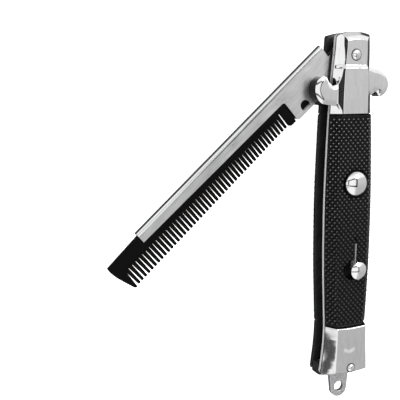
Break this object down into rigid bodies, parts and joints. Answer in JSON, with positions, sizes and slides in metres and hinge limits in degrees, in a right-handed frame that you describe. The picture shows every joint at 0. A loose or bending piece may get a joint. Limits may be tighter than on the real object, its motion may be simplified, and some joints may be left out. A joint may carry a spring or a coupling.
{
  "type": "folding comb",
  "caption": "Folding pocket comb: toothed bar in a steel channel that swings out of a two-sided metal and checkered plastic handle with guard ears, push button and bail.",
  "frame": {"origin": "middle of the back face of the top bolster, on the surface the handle lies on, 12 mm below the comb's pivot along the handle", "axes": "+Y along the handle from the bail towards the pivot end, +Z out of the front face that carries the button, +X across the handle towards its closed side; the comb swings out towards -X"},
  "size_m": [0.1007, 0.1327, 0.0176],
  "materials": {
    "liner_steel": "fine brushed edge",
    "blackened_steel": "blackened, satin",
    "bolster_chrome": "bright plated, satin on the front flats",
    "scale_plastic": "checkered, half matte",
    "bail_steel": "tumbled, slightly rough",
    "hardware_chrome": "polished",
    "channel_steel": "brushed along the comb",
    "comb_plastic": "smooth moulded"
  },
  "bodies": {
    "handle": {"front_liner": "liner_steel", "back_liner": "blackened_steel", "front_top_bolster": "bolster_chrome", "back_top_bolster": "bolster_chrome", "front_tail_bolster": "bolster_chrome", "back_tail_bolster": "bolster_chrome", "front_scale": "scale_plastic", "back_scale": "scale_plastic", "back_spacer": "blackened_steel", "tail_bail": "bail_steel", "pivot_pin": "hardware_chrome", "tail_pin": "hardware_chrome"},
    "comb": {"comb_channel": "channel_steel", "comb_teeth": "comb_plastic"},
    "button": {"push_button": "hardware_chrome"},
    "safety": {"safety_slide": "hardware_chrome"}
  },
  "joints": [
    {"name": "comb_fold", "type": "hinge", "parent": "handle", "child": "comb", "pos_m": [0, 0.012, 0.0073], "axis": [0, 0, 1], "range_deg": [-131.2, 48.8]},
    {"name": "button_press", "type": "slide", "parent": "handle", "child": "button", "axis": [0, 0, 1], "range_m": [-0.001, 0], "stiffness_N_per_m": 800},
    {"name": "safety_travel", "type": "slide", "parent": "handle", "child": "safety", "axis": [0, 1, 0], "range_m": [0, 0.009]}
  ]
}
